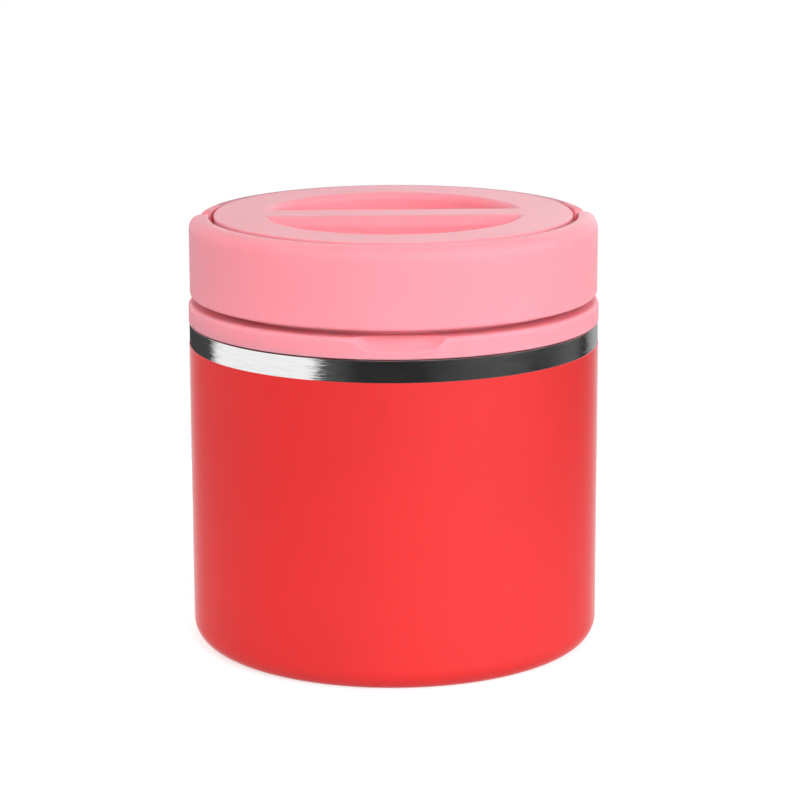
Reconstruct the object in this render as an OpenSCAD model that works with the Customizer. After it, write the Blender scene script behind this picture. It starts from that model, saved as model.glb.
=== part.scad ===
// Insulated food jar with a screw lid and a swing-up carry handle.
// Millimetres, +Z up, origin at the centre of the foot ring, front of the lid towards -Y.

/* [Jar body] */
// Outer diameter over the coat
body_d = 106; // [96:1:124]
// Height of the body from the foot to the shoulder
body_h = 84.4; // [70:0.1:110]
// Outer rounding where the side meets the foot
foot_fillet = 5.9; // [4:0.1:9]
// Width of the flat ring that the jar stands on
foot_w = 1.5; // [1:0.1:3]
// Thickness of the steel sheet
steel_t = 0.5; // [0.4:0.05:0.7]
// Thickness of the powder coat
coat_t = 0.15; // [0.1:0.01:0.3]
// Height of the bare steel band between the coat and the shoulder
bare_band_h = 5.5; // [3:0.1:12]
// Rounding at the edge of the shoulder
shoulder_fillet = 0.5; // [0.5:0.1:1.5]
// Width of the flat part of the shoulder
shoulder_flat_w = 2.6; // [2:0.1:4]
// Rise of the shoulder from its flat part to the neck
shoulder_rise = 1.6; // [1:0.1:2.5]

/* [Foot] */
// Depth of the recess from the foot to the hem
hem_z = 2.6; // [2:0.1:4]
// Width of the hem that carries the vacuum base
hem_w = 2.1; // [1.5:0.1:3]
// Depth of the base cover above the foot
cover_z = 1.4; // [1:0.1:1.8]
// Radius of the raised middle of the base cover
cover_step_r = 30; // [20:1:36]

/* [Vacuum space] */
// Gap between the two steel walls
vacuum_gap = 5; // [3:0.1:7]
// Gap between the two steel walls in the neck
neck_gap = 0.4; // [0.3:0.05:0.8]
// Gap between the vacuum base and the liner
bottom_gap = 5.2; // [4:0.1:8]
// Gap between the liner and the underside of the shoulder
top_gap = 2; // [1.5:0.1:4]
// Outer corner radius at the bottom of the liner
liner_corner = 8; // [5:0.5:12]
// Diameter of the getter pill
getter_d = 10; // [6:0.5:12]
// Height of the getter pill
getter_h = 2.5; // [2:0.1:3]
// Distance of the getter pill from the jar's axis
getter_at = 18; // [14:1:24]

/* [Neck and thread] */
// Height of the neck from the shoulder's edge to the rim
neck_h = 10.9; // [9.4:0.1:13]
// Rise of the lid in one full turn
thread_lead = 9; // [8.4:0.1:12]
// Number of thread starts
thread_starts = 2; // [2:1:3]
// Thread segments in each start
thread_segments = 3; // [2:1:3]
// Angle that one thread segment covers
thread_segment_a = 46; // [30:1:50]
// Angle from one thread segment to the next
thread_step_a = 56; // [52:1:60]
// Height of a thread ridge above its wall
thread_depth = 1.5; // [1.2:0.1:1.9]
// Axial width of a thread ridge at its root
thread_root_w = 2.2; // [1.6:0.1:2.6]
// Axial width of a thread ridge at its crest
thread_crest_w = 1; // [0.6:0.1:1.4]

/* [Lid] */
// Height of the flange that closes over the shoulder
flange_h = 5.1; // [4:0.1:7]
// Rounding of the flange's outer top edge
flange_fillet = 1.1; // [0.8:0.1:2]
// Rounding of the flange's outer bottom edge
flange_lip_r = 0.3; // [0.3:0.1:1]
// Thickness of the flange's web
web_t = 2.4; // [1.8:0.1:2.8]
// Thickness of the flange's skirt
skirt_t = 2.6; // [2:0.1:3]
// Thickness of the lid's round wall
lid_wall_t = 2.15; // [1.8:0.05:2.6]
// Thickness of the lid's floor
floor_t = 2; // [1.5:0.1:2.5]
// Thickness of the top disc
disc_t = 2.05; // [1.6:0.05:2.5]
// How far the disc stands above the handle band
disc_proud = 0.25; // [0:0.05:0.5]
// Rounding of the disc's edge
disc_edge_r = 0.5; // [0.3:0.1:1.2]
// Width of the flat rim round the finger recess
rim_w = 11.9; // [10:0.1:14]
// Width of the grip bar across the recess
bar_w = 14.5; // [12:0.5:18]
// Rounding of the recess's rim
recess_edge_r = 2; // [1:0.1:2.2]
// Rounding of the grip bar's top edges
bar_edge_r = 3; // [2.6:0.1:4.5]
// Wall of the recess bowl and of the hollow bar
bowl_t = 2; // [1.5:0.1:2.5]
// Height of the skirt that locates the disc in the wall
disc_skirt_h = 3; // [2:0.1:4]
// Width of the thumb scoop in the flange
scoop_w = 24.2; // [18:0.1:34]
// Depth of the thumb scoop at the flange's face
scoop_drop = 3.4; // [2.4:0.1:3.8]
// Distance that the thumb scoop reaches inwards
scoop_run = 5; // [4:0.1:6]
// Rounding at the two ends of the thumb scoop
scoop_end_r = 6; // [4:0.1:8]
// Thickness of the silicone gasket
gasket_t = 2.4; // [2:0.1:3]
// How far the plug reaches below the rim
plug_depth = 8.8; // [6:0.1:12]
// Wall of the plug
plug_t = 1.8; // [1.2:0.1:2.4]
// Rounding at the plug's bottom edge
plug_fillet = 2.5; // [1:0.1:4]

/* [Carry handle] */
// Height of the band
band_h = 20.4; // [17:0.1:24]
// Thickness of the band
band_t = 5.1; // [4.2:0.1:6.2]
// How far the band's face stands back from the body's side
band_inset = 0.4; // [0:0.1:1]
// Rounding of the band's outer top edge
band_top_r = 3.4; // [2:0.1:4]
// Rounding of the band's outer bottom edge
band_bottom_r = 1; // [0.6:0.1:2]
// Rounding of the band's inner edges
band_inner_r = 0.6; // [0.3:0.1:1]
// Distance of the pivot below the band's top
pivot_drop = 6; // [5.2:0.1:7.2]
// Diameter of the pivot pins
pin_d = 4; // [3:0.1:4.6]
// Outer radius of the pivot bosses
boss_r = 3.6; // [3.2:0.1:4]
// Length of the boss inside the lid's wall
boss_in = 4.5; // [3:0.1:5]
// Wall left outside the pin in the band, and inside it in the boss
pin_wall = 1.3; // [1:0.1:1.6]
// Thickness of the guard wall behind the handle
guard_t = 2.9; // [2:0.1:3.2]
// How far the guard wall ends below the disc's top
guard_drop = 0.4; // [0:0.1:1]
// Rounding of the guard wall's outer top edge
guard_edge_r = 1.6; // [0.8:0.1:2]
// Angle from the pivot line to where the guard wall closes up to the disc
guard_fill_a = 20; // [14:1:40]

/* [Clearances] */
// Gap between the flange and the shoulder
flange_gap = 0.3; // [0.2:0.1:0.8]
// Gap between the band and the flange
band_gap = 1.8; // [1.2:0.1:2]
// Gap between the band and the lid's round wall
ring_gap = 1.35; // [1.1:0.05:1.8]
// Gap round a thread crest
thread_gap = 0.5; // [0.35:0.05:0.8]
// Gap between the turning ear and the guard wall or boss
swing_gap = 0.4; // [0.3:0.05:0.8]
// Radial running clearance of a pivot pin in its boss
pin_gap = 0.05; // [0.02:0.01:0.09]
// Gap between the plug and the mouth
plug_gap = 0.8; // [0.5:0.1:1.5]
// Gap between pieces that are fitted into each other
seat_gap = 0.3; // [0.2:0.05:0.5]
// Gap between the recess bowl and the lid's floor
bowl_gap = 0.5; // [0.3:0.1:1]

/* [Hidden] */
$fn = 96;
over = 1;  // how far a cutter runs past what it cuts

// Colours
coat_red = [0.93, 0.20, 0.22];
lid_pink = [0.98, 0.62, 0.67];
steel = [0.75, 0.75, 0.77];
plain_steel = [0.62, 0.62, 0.65];
plug_white = [0.93, 0.90, 0.90];
silicone_grey = [0.85, 0.85, 0.85];
foam_white = [0.95, 0.94, 0.90];
getter_grey = [0.35, 0.35, 0.37];
bead_glass = [0.30, 0.45, 0.40];

// Radii, from the outside in
body_r = body_d / 2;
shell_r = body_r - coat_t;
band_out_r = body_r - band_inset;
band_in_r = band_out_r - band_t;
disc_r = band_in_r - ring_gap;
wall_in_r = disc_r - lid_wall_t;
crest_r = wall_in_r - thread_gap;
neck_r = crest_r - thread_depth;
neck_in_r = neck_r - steel_t;
liner_neck_r = neck_in_r - neck_gap;
mouth_r = liner_neck_r - steel_t;
plug_r = mouth_r - plug_gap;
liner_r = shell_r - steel_t - vacuum_gap;
skirt_in_r = body_r - skirt_t;
guard_out_r = band_in_r + guard_t;
recess_flare_r = disc_r - rim_w;
recess_r = recess_flare_r - recess_edge_r;
bowl_r = recess_r + bowl_t;
disc_skirt_r = wall_in_r - seat_gap / 2;
disc_skirt_t = 1.6;
gasket_in_r = plug_r + seat_gap;
gasket_out_r = wall_in_r - 2 * seat_gap;

// Foot
foot_centre_r = body_r - foot_fillet;
shell_fillet = foot_fillet - coat_t;
foot_in_r = foot_centre_r - foot_w;
hem_in_r = foot_in_r - hem_w;
hem_top_z = hem_z + steel_t;
coat_end_a = -70;  // the coat stops on the rounding, just clear of the ground
base_top_z = hem_top_z + steel_t;
dimple_r = 5;
dimple_h = 1;
seal_hole_r = 1.2;
bead_r = 3.2;
bead_back = 0.1;  // how far the bead stays behind the mouth of the dimple
clip_t = 0.3;
clip_w = 6;
clip_tab = 1.2;
cover_step_h = 0.5;

// Heights, from the foot up
coat_top_z = body_h - bare_band_h;
liner_z = base_top_z + bottom_gap;
liner_shoulder_r = liner_r - liner_neck_r;
liner_shoulder_z = body_h - steel_t - top_gap - liner_shoulder_r;
rim_z = body_h + neck_h;
floor_z = rim_z + gasket_t;
floor_top_z = floor_z + floor_t;
plug_z = rim_z - plug_depth;
flange_z = body_h + flange_gap;
flange_top_z = flange_z + flange_h;
web_z = flange_top_z - web_t;
wall_z = body_h + shoulder_rise + thread_gap;
band_z = flange_top_z + band_gap;
band_top_z = band_z + band_h;
pivot_z = band_top_z - pivot_drop;
top_z = band_top_z + disc_proud;
disc_z = top_z - disc_t;
bowl_z = floor_top_z + bowl_gap;
recess_z = bowl_z + bowl_t;
guard_top_z = top_z - guard_drop;

// Thread
thread_mid_r = (neck_r + wall_in_r) / 2;
thread_a = atan(thread_lead / (2 * PI * thread_mid_r));
thread_rise = thread_lead * thread_step_a * (thread_segments - 1) / 360;
thread_z = (body_h + shoulder_rise + rim_z - steel_t - thread_rise) / 2;
thread_root = 0.3;  // how deep a ridge is rooted in its wall

// Handle and its pivots
ear_back = pivot_drop;
guard_y = ear_back + swing_gap;
boss_out_x = sqrt(band_in_r ^ 2 - boss_r ^ 2) - swing_gap;
boss_in_x = wall_in_r - boss_in;
pin_in_x = boss_in_x + pin_wall;
pin_out_x = band_out_r - pin_wall;
pad_a = 12;      // angle of a rest pad in front of the pivot line
pad_span_a = 4;  // angle that a rest pad covers
pad_r = band_in_r + seat_gap;
pad_w = 1.5;

// Thumb scoop: a slanting trough across the flange's face, flat between two arcs
scoop_a = atan(scoop_drop / scoop_run);
scoop_sag = scoop_drop * cos(scoop_a);
scoop_end_a = acos(1 - scoop_sag / scoop_end_r);
scoop_end_x = scoop_w / 2 - scoop_end_r * sin(scoop_end_a);
scoop_reach = scoop_run / cos(scoop_a);  // along the slope, to where it meets the flange's top

// Points along an arc about [x, y], from angle a to angle b
function arc(x, y, r, a, b, steps = 8) =
    [for (i = [0:steps]) let (t = a + (b - a) * i / steps) [x + r * cos(t), y + r * sin(t)]];

module revolve(points) {
    rotate_extrude()
        polygon(points);
}

// A disc or hole along X, from x = a to x = b, on the pivot line
module pivot_rod(r, a, b) {
    translate([a, 0, pivot_z])
        rotate([0, 90, 0])
            cylinder(r = r, h = b - a);
}

module both_sides() {
    children();
    mirror([1, 0, 0])
        children();
}

// Interrupted screw thread: short ring segments laid along a helix. The flanks run on into
// the wall that carries them.
module thread_ridges(root_r, tip_r) {
    rooted_r = root_r + sign(root_r - tip_r) * thread_root;
    half_tip = thread_crest_w / 2;
    flank = (thread_root_w - thread_crest_w) / 2 / thread_depth;
    half_root = half_tip + flank * (thread_depth + thread_root);
    for (start = [0:thread_starts - 1], i = [0:thread_segments - 1]) {
        turn = start * 360 / thread_starts + i * thread_step_a;
        translate([0, 0, thread_z + thread_lead * i * thread_step_a / 360])
            rotate([0, 0, turn])
                rotate([thread_a, 0, 0])
                    rotate([0, 0, -thread_segment_a / 2])
                        rotate_extrude(angle = thread_segment_a)
                            polygon([
                                [rooted_r, -half_root], [tip_r, -half_tip],
                                [tip_r, half_tip], [rooted_r, half_root]
                            ]);
    }
}

// ---- Jar body ----

module outer_shell() color(steel) {
    foot_bend = steel_t;
    slope_r = shell_r - shoulder_fillet - shoulder_flat_w;
    revolve(concat(
        arc(foot_in_r + foot_bend, foot_bend, foot_bend, 180, 270, 4),
        arc(foot_centre_r, shell_fillet, shell_fillet, 270, 360),
        arc(shell_r - shoulder_fillet, body_h - shoulder_fillet, shoulder_fillet, 0, 90, 5),
        [[slope_r, body_h], [neck_r, body_h + shoulder_rise], [neck_r, rim_z - steel_t]],
        [[neck_in_r, rim_z - steel_t], [neck_in_r, body_h + shoulder_rise - steel_t]],
        [[slope_r, body_h - steel_t], [shell_r - steel_t, body_h - steel_t]],
        arc(foot_centre_r, shell_fillet, shell_fillet - steel_t, 360, 270),
        [[foot_in_r + steel_t, steel_t], [foot_in_r + steel_t, hem_top_z]],
        [[hem_in_r, hem_top_z], [hem_in_r, hem_z], [foot_in_r, hem_z]]
    ));
    thread_ridges(neck_r, crest_r);
}

module powder_coat() color(coat_red)
    revolve(concat(
        arc(foot_centre_r, shell_fillet, foot_fillet, coat_end_a, 0),
        [[body_r, coat_top_z], [shell_r, coat_top_z]],
        arc(foot_centre_r, shell_fillet, shell_fillet, 0, coat_end_a)
    ));

module inner_liner() color(plain_steel) {
    corner_r = liner_r - liner_corner;
    corner_z = liner_z + liner_corner;
    rim_r = neck_r;
    rim_bend = steel_t / 2;
    revolve(concat(
        [[0, liner_z]],
        arc(corner_r, corner_z, liner_corner, 270, 360),
        arc(liner_neck_r, liner_shoulder_z, liner_shoulder_r, 0, 90),
        [[liner_neck_r, rim_z - steel_t], [rim_r, rim_z - steel_t]],
        arc(rim_r - rim_bend, rim_z - rim_bend, rim_bend, 0, 90, 3),
        arc(mouth_r + rim_bend, rim_z - rim_bend, rim_bend, 90, 180, 3),
        [[mouth_r, liner_shoulder_z + liner_shoulder_r - steel_t]],
        arc(liner_neck_r, liner_shoulder_z, liner_shoulder_r - steel_t, 90, 0),
        arc(corner_r, corner_z, liner_corner - steel_t, 360, 270),
        [[0, liner_z + steel_t]]
    ));
}

module vacuum_base() color(plain_steel) {
    plate_r = foot_in_r + seat_gap;
    slope = dimple_h;
    revolve([
        [seal_hole_r, hem_top_z + dimple_h], [dimple_r, hem_top_z + dimple_h],
        [dimple_r + slope, hem_top_z], [plate_r, hem_top_z],
        [plate_r, base_top_z], [dimple_r + slope + steel_t / 2, base_top_z],
        [dimple_r + steel_t / 2, base_top_z + dimple_h], [seal_hole_r, base_top_z + dimple_h]
    ]);
}

module seal_bead() color(bead_glass) {
    seat_z = hem_top_z + dimple_h;
    drop = dimple_h - bead_back;
    dome_r = (bead_r ^ 2 + drop ^ 2) / (2 * drop);
    dome_a = asin(bead_r / dome_r);
    revolve(concat(
        arc(0, seat_z - drop + dome_r, dome_r, 270, 270 + dome_a),
        [[seal_hole_r, seat_z], [seal_hole_r, seat_z + steel_t], [0, seat_z + steel_t]]
    ));
}

module getter() color(getter_grey)
    translate([getter_at, 0, base_top_z + clip_t])
        cylinder(d = getter_d, h = getter_h);

module getter_clip() color(plain_steel) {
    arm_x = getter_d / 2;
    arm_h = getter_h + 2 * clip_t;
    translate([getter_at, 0, base_top_z]) {
        translate([-arm_x - clip_t, -clip_w / 2, 0])
            cube([2 * (arm_x + clip_t), clip_w, clip_t]);
        both_sides() {
            translate([arm_x, -clip_w / 2, 0])
                cube([clip_t, clip_w, arm_h]);
            translate([arm_x - clip_tab, -clip_w / 2, arm_h - clip_t])
                cube([clip_tab + clip_t, clip_w, clip_t]);
        }
    }
}

module base_cover() color(steel) {
    cover_r = foot_in_r - seat_gap;
    cover_rim_w = 1.5;
    step_z = cover_z + cover_step_h;
    revolve([
        [0, step_z], [cover_step_r - cover_step_h, step_z], [cover_step_r, cover_z],
        [cover_r, cover_z], [cover_r, hem_z], [cover_r - cover_rim_w, hem_z],
        [cover_r - cover_rim_w, cover_z + steel_t], [cover_step_r + steel_t / 2, cover_z + steel_t],
        [cover_step_r - cover_step_h + steel_t / 2, step_z + steel_t], [0, step_z + steel_t]
    ]);
}

// ---- Seal ----

module lid_gasket() color(silicone_grey) {
    bend = 0.5;
    revolve(concat(
        arc(gasket_in_r + bend, rim_z + bend, bend, 180, 270, 4),
        arc(gasket_out_r - bend, rim_z + bend, bend, 270, 360, 4),
        arc(gasket_out_r - bend, floor_z - bend, bend, 0, 90, 4),
        arc(gasket_in_r + bend, floor_z - bend, bend, 90, 180, 4)
    ));
}

// ---- Lid ----

module flange_and_wall() {
    edge_r = body_r - flange_fillet;
    lip_r = body_r - flange_lip_r;
    revolve(concat(
        [[0, floor_z], [wall_in_r, floor_z], [wall_in_r, wall_z], [disc_r, wall_z]],
        [[disc_r, web_z], [skirt_in_r, web_z], [skirt_in_r, flange_z]],
        arc(lip_r, flange_z + flange_lip_r, flange_lip_r, 270, 360, 3),
        arc(edge_r, flange_top_z - flange_fillet, flange_fillet, 0, 90, 6),
        [[disc_r, flange_top_z], [disc_r, disc_z], [wall_in_r, disc_z]],
        [[wall_in_r, floor_top_z], [0, floor_top_z]]
    ));
}

// Wall that stands behind the handle and stops it when it is upright. Away from its ends it
// closes up to the disc.
module guard_wall() {
    inner_edge = 0.6;
    fill_in_r = disc_r + seat_gap;
    fill_out_r = guard_out_r - guard_edge_r;
    root_z = flange_top_z - web_t / 2;
    difference() {
        revolve(concat(
            [[band_in_r, root_z], [guard_out_r, root_z]],
            arc(guard_out_r - guard_edge_r, guard_top_z - guard_edge_r, guard_edge_r, 0, 90, 8),
            arc(band_in_r + inner_edge, guard_top_z - inner_edge, inner_edge, 90, 180, 4)
        ));
        translate([-body_d, guard_y - 2 * body_d, root_z - over])
            cube([2 * body_d, 2 * body_d, body_h]);
    }
    rotate([0, 0, guard_fill_a])
        rotate_extrude(angle = 180 - 2 * guard_fill_a)
            translate([fill_in_r, root_z])
                square([fill_out_r - fill_in_r, guard_top_z - root_z]);
}

// Low pads that the band lies on when it is down
module rest_pads() {
    both_sides()
        rotate([0, 0, -pad_a - pad_span_a / 2])
            rotate_extrude(angle = pad_span_a)
                translate([pad_r, flange_top_z - web_t / 2])
                    square([pad_w, web_t / 2 + band_gap]);
}

module thumb_scoop()
    translate([0, -body_r, flange_top_z - scoop_drop])
        rotate([scoop_a, 0, 0])
            rotate([90, 0, 0])
                translate([0, 0, -scoop_reach])
                    linear_extrude(scoop_reach + scoop_run)
                        polygon(concat(
                            [[-scoop_w / 2, 2 * scoop_sag]],
                            arc(-scoop_end_x, scoop_end_r, scoop_end_r, 270 - scoop_end_a, 270),
                            arc(scoop_end_x, scoop_end_r, scoop_end_r, 270, 270 + scoop_end_a),
                            [[scoop_w / 2, 2 * scoop_sag]]
                        ));

module lid_shell() color(lid_pink) {
    difference() {
        union() {
            flange_and_wall();
            guard_wall();
            both_sides()
                pivot_rod(boss_r, boss_in_x, boss_out_x);
            rest_pads();
        }
        both_sides()
            pivot_rod(pin_d / 2 + pin_gap, pin_in_x - seat_gap, boss_out_x + over);
        thumb_scoop();
    }
    rotate([0, 0, 90 * 2 / thread_starts])
        thread_ridges(wall_in_r, wall_in_r - thread_depth);
}

// One of the two finger pockets beside the grip bar, with its rounded rim
module finger_pocket()
    intersection() {
        revolve(concat(
            [[0, recess_z], [recess_r, recess_z]],
            arc(recess_flare_r, top_z - recess_edge_r, recess_edge_r, 180, 90, 6),
            [[recess_flare_r, top_z + over], [0, top_z + over]]
        ));
        bar_side();
    }

// The space beside the bar, which the bar's rounded top edge narrows
module bar_side() {
    half = bar_w / 2;
    translate([-body_r, 0, 0])
        rotate([90, 0, 90])
            linear_extrude(body_d)
                polygon(concat(
                    [[body_r, top_z + over], [body_r, recess_z - over], [half, recess_z - over]],
                    arc(half - bar_edge_r, top_z - bar_edge_r, bar_edge_r, 0, 90),
                    [[half - bar_edge_r, top_z + over]]
                ));
}

module grip_disc() color(lid_pink) {
    skirt_z = disc_z - disc_skirt_h;
    difference() {
        revolve(concat(
            [[0, bowl_z], [bowl_r, bowl_z], [bowl_r, disc_z]],
            [[disc_skirt_r - disc_skirt_t, disc_z], [disc_skirt_r - disc_skirt_t, skirt_z]],
            [[disc_skirt_r, skirt_z], [disc_skirt_r, disc_z], [disc_r, disc_z]],
            arc(disc_r - disc_edge_r, top_z - disc_edge_r, disc_edge_r, 0, 90, 5),
            [[0, top_z]]
        ));
        finger_pocket();
        mirror([0, 1, 0])
            finger_pocket();
        bar_hollow();
        both_sides()
            pivot_rod(boss_r + seat_gap, boss_in_x - seat_gap, wall_in_r);
    }
}

// The grip bar is hollow from below
module bar_hollow() {
    half_l = recess_r - bowl_t;
    half_w = bar_w / 2 - bowl_t;
    roof_z = top_z - bowl_t;
    bend = bar_edge_r - bowl_t;
    translate([-half_l, 0, 0])
        rotate([90, 0, 90])
            linear_extrude(2 * half_l)
                polygon(concat(
                    [[-half_w, bowl_z - over], [half_w, bowl_z - over]],
                    arc(half_w - bend, roof_z - bend, bend, 0, 90, 4),
                    arc(bend - half_w, roof_z - bend, bend, 90, 180, 4)
                ));
}

module lid_plug() color(plug_white)
    revolve(concat(
        [[0, plug_z]],
        arc(plug_r - plug_fillet, plug_z + plug_fillet, plug_fillet, 270, 360, 6),
        [[plug_r, floor_z], [plug_r - plug_t, floor_z], [plug_r - plug_t, plug_z + plug_fillet]],
        [[plug_r - plug_fillet, plug_z + plug_t], [0, plug_z + plug_t]]
    ));

module lid_foam() color(foam_white) {
    foam_r = plug_r - plug_t - seat_gap;
    foam_z = plug_z + plug_t;
    translate([0, 0, foam_z])
        cylinder(r1 = foam_r - plug_fillet, r2 = foam_r, h = plug_fillet);
    translate([0, 0, foam_z + plug_fillet])
        cylinder(r = foam_r, h = floor_z - seat_gap - foam_z - plug_fillet);
}

// ---- Carry handle ----

module band_ring()
    revolve(concat(
        arc(band_in_r + band_inner_r, band_z + band_inner_r, band_inner_r, 180, 270, 3),
        arc(band_out_r - band_bottom_r, band_z + band_bottom_r, band_bottom_r, 270, 360, 5),
        arc(band_out_r - band_top_r, band_top_z - band_top_r, band_top_r, 0, 90, 10),
        arc(band_in_r + band_inner_r, band_top_z - band_inner_r, band_inner_r, 90, 180, 3)
    ));

// Side view of the front half with its two ears, rounded about the pivot at the top
module band_outline() {
    low_z = band_z + ear_back;
    translate([-body_r, 0, 0])
        rotate([90, 0, 90])
            linear_extrude(body_d) {
                translate([-body_r, band_z])
                    square([body_r, band_h]);
                translate([-ear_back, low_z])
                    square([2 * ear_back, pivot_z - low_z]);
                translate([0, pivot_z])
                    circle(r = ear_back);
                translate([0, low_z])
                    circle(r = ear_back);
            }
}

module handle_band() color(lid_pink)
    difference() {
        intersection() {
            band_ring();
            band_outline();
        }
        both_sides()
            pivot_rod(pin_d / 2, disc_r, pin_out_x);
    }

module handle_pin_right() color(plain_steel)
    pivot_rod(pin_d / 2, pin_in_x, pin_out_x);

module handle_pin_left() color(plain_steel)
    mirror([1, 0, 0])
        pivot_rod(pin_d / 2, pin_in_x, pin_out_x);

outer_shell();
powder_coat();
inner_liner();
vacuum_base();
seal_bead();
getter();
getter_clip();
base_cover();
lid_gasket();
lid_shell();
grip_disc();
lid_plug();
lid_foam();
handle_band();
handle_pin_left();
handle_pin_right();
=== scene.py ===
"""Insulated food jar with a screw lid and a swing-up carry handle: surfaces, floor, light and camera.

Shapes are worked out in millimetres and scaled to metres where a mesh is made. +Z is up, the front is -Y.
"""
from math import acos, asin, atan2, ceil, cos, degrees, hypot, pi, radians, sin, sqrt, tan

import bmesh
import bpy
from mathutils import Matrix, Vector, geometry


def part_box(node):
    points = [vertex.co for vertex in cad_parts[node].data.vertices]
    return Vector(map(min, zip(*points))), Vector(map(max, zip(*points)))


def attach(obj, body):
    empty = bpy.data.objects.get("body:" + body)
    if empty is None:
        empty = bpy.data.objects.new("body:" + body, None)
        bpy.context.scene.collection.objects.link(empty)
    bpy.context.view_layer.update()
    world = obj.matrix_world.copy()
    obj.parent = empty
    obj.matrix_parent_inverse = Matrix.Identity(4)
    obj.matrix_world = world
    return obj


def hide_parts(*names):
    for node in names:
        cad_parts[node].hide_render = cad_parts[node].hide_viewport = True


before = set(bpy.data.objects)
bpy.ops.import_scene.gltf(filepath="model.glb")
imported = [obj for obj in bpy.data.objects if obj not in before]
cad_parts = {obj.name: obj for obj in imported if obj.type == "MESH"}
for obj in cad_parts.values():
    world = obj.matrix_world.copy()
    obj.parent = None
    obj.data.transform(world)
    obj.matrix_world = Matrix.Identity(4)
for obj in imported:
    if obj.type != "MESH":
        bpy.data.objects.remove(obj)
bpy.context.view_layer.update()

MM = 0.001


def size_of(node):
    """A CAD node's lowest and highest corner, in millimetres."""
    low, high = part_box(node)
    return low / MM, high / MM


# ---- Sizes: outer ones from the CAD nodes in model.glb, the sections' own from the construction, in millimetres ----

coat_high = size_of("powder_coat")[1]
shell_high = size_of("outer_shell")[1]
liner_low, liner_high = size_of("inner_liner")
cover_low, cover_high = size_of("base_cover")
lid_low, lid_high = size_of("lid_shell")
disc_low, disc_high = size_of("grip_disc")
plug_low, plug_high = size_of("lid_plug")
gasket_low, gasket_high = size_of("lid_gasket")
band_low, band_high = size_of("handle_band")
pin_low, pin_high = size_of("handle_pin_right")

STEEL_T = 0.5
BODY_R = coat_high.x
SHELL_R = shell_high.x
COAT_T = BODY_R - SHELL_R
FOOT_FILLET = 5.9
FOOT_STEEL_FILLET = FOOT_FILLET - COAT_T
FOOT_W = 1.5
FOOT_CENTRE_R = BODY_R - FOOT_FILLET
FOOT_R = FOOT_CENTRE_R - FOOT_W
HEM_Z = cover_high.z
HEM_W = 2.1
SHOULDER_Z = 84.4
SHOULDER_FILLET = 0.03
SHOULDER_FLAT = 2.6
SHOULDER_RISE = 1.6
NECK_R = 42.0
NECK_FILLET = 1
NECK_TOP = shell_high.z
RIM_Z = liner_high.z
LINER_R = liner_high.x
LINER_CORNER = 8.0
LINER_SHOULDER_Z = 75.65
MOUTH_R = 40.6
COVER_STEP_R = 30.0
COVER_STEP = 0.5

FLANGE_Z = lid_low.z
FLANGE_TOP = 89.8
FLANGE_SUNK = 1.2  # how deep what stands on the flange reaches into it
FLANGE_FILLET = 1.1
FLANGE_LIP = 0.3
WEB_T = 2.4
SKIRT_R = 50.4
DISC_R = disc_high.x
WALL_R = 44.0
WALL_Z = 86.5
FLOOR_Z = gasket_high.z
FLOOR_T = 2.0
TOP_Z = disc_high.z
DISC_Z = 110.2
DISC_EDGE = 0.5
RECESS_R = 32.25
RECESS_EDGE = 2.0
RECESS_Z = disc_low.z + 2.0
BAR_HALF = 7.25
BAR_EDGE = 3.0
POCKET_TIP = (0.5, 2.0)  # the corners' radius in plan, at the brim and at the wall
POCKET_FLOOR_FILLET = 1.2
BOWL_T = 2.0
GUARD_IN = 47.5
GUARD_OUT = 50.4
GUARD_TOP = lid_high.z
GUARD_Y = 6.4
GUARD_EDGES = (1.6, 1.2, 0.3, 0.6)
GUARD_CORNER = 1.8
FILL_IN = 46.45
FILL_OUT = 48.8
FILL_FROM = 20
FILL_EDGES = (0.02, 0.5, 0.02, 0.15)
FILL_CORNER = 0.8

BAND_OUT = band_high.x
BAND_IN = 47.5
BAND_Z = band_low.z
BAND_TOP = band_high.z
BAND_EDGES = (3.4, 1.4, 1.0, 0.6)
EAR = band_high.y
PIVOT_Z = (pin_low.z + pin_high.z) / 2
BOSS_R = 3.6
BOSS_IN = 39.5
BOSS_OUT = 46.96
BORE_R = 2.05
PAD_IN = 47.8
PAD_OUT = 49.3
PAD_AT = -12
PAD_SPAN = 4

THREAD_LEAD = 9.0
THREAD_STARTS = 2
THREAD_STEP = 56
THREAD_SEGMENTS = 3
THREAD_SPAN = 46
THREAD_DEPTH = 1.5
THREAD_ROOT = 2.2
THREAD_CREST = 1.0
THREAD_Z = 89.0
THREAD_SUNK = 0.3

SEGMENTS = 256
FACET_TURN = 11
CREASE = radians(38)


# ---- Outlines ----

def arc(x, z, r, a, b, n=8):
    """Points on an arc about (x, z) from angle a to angle b, in degrees."""
    turns = [radians(a + (b - a) * i / n) for i in range(n + 1)]
    return [(x + r * cos(t), z + r * sin(t)) for t in turns]


def rounded(*corners):
    """A closed outline through corners (x, z) or (x, z, r), each with its rounding r."""
    points = []
    for i, corner in enumerate(corners):
        here = Vector(corner[:2])
        if len(corner) < 3:
            points.append(tuple(here))
            continue
        r = corner[2]
        back = (Vector(corners[i - 1][:2]) - here).normalized()
        on = (Vector(corners[(i + 1) % len(corners)][:2]) - here).normalized()
        half = acos(max(-1, min(1, back.dot(on)))) / 2
        centre = here + (back + on).normalized() * (r / sin(half))
        first = (here + back * (r / tan(half)) - centre) / r
        last = (here + on * (r / tan(half)) - centre) / r
        sweep = pi - 2 * half
        n = max(3, ceil(degrees(sweep) / FACET_TURN))
        for k in range(n + 1):
            a, b = sin((1 - k / n) * sweep) / sin(sweep), sin(k / n * sweep) / sin(sweep)
            points.append(tuple(centre + (first * a + last * b) * r))
    return points


# ---- Meshes ----

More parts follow.
